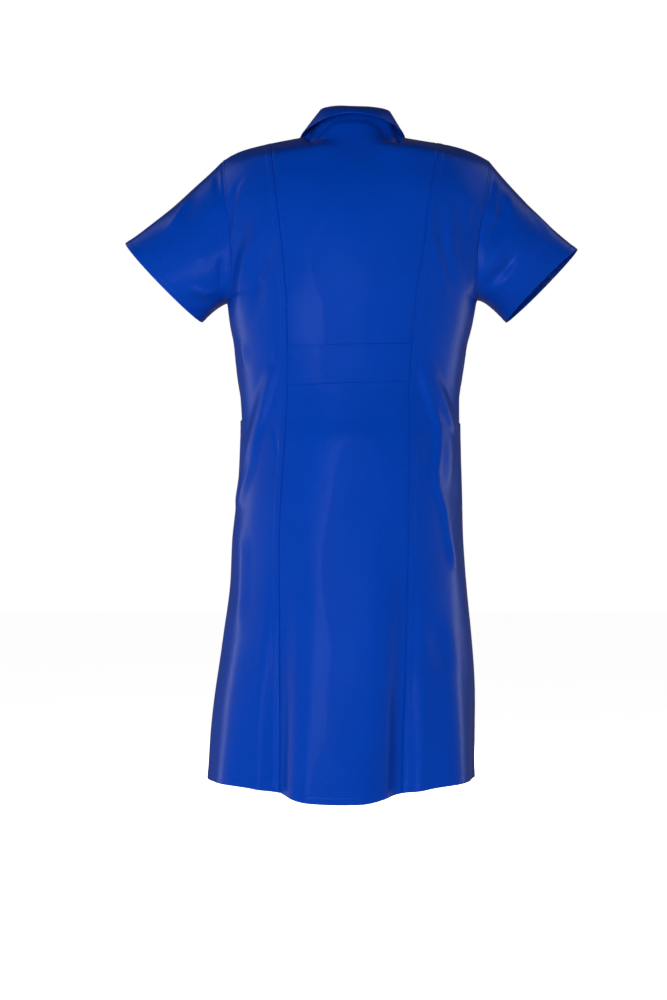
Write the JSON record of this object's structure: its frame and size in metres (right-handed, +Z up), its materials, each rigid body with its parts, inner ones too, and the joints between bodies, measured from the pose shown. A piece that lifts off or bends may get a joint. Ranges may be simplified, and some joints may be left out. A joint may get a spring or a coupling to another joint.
{
  "type": "work coat",
  "caption": "Knee-length women's work coat with short sleeves, turned collar, princess seams, a half belt at the back and hip pockets, filled out as worn.",
  "frame": {"origin": "middle of the neck opening, level with the tops of the shoulder seams, where the wearer's shoulders hold the coat", "axes": "+Z up along the coat to the collar, +X towards the wearer's left, -Y towards the front where it buttons, +Y towards the back with the half belt"},
  "size_m": [0.678, 0.2887, 1.0014],
  "materials": {
    "cloth": "royal blue cotton and polyester twill, pressed, slight sheen",
    "buttons": "dyed-to-match blue plastic, satin"
  },
  "bodies": {
    "root": {"back_centre": "cloth", "back_side_left": "cloth", "back_side_right": "cloth", "front_left": "cloth", "front_right": "cloth", "sleeve_left": "cloth", "sleeve_right": "cloth", "collar": "cloth", "half_belt": "cloth", "pocket_left": "cloth", "pocket_right": "cloth", "button_1": "buttons", "button_2": "buttons", "button_3": "buttons", "button_4": "buttons", "button_5": "buttons", "button_6": "buttons", "button_7": "buttons"}
  },
  "joints": []
}
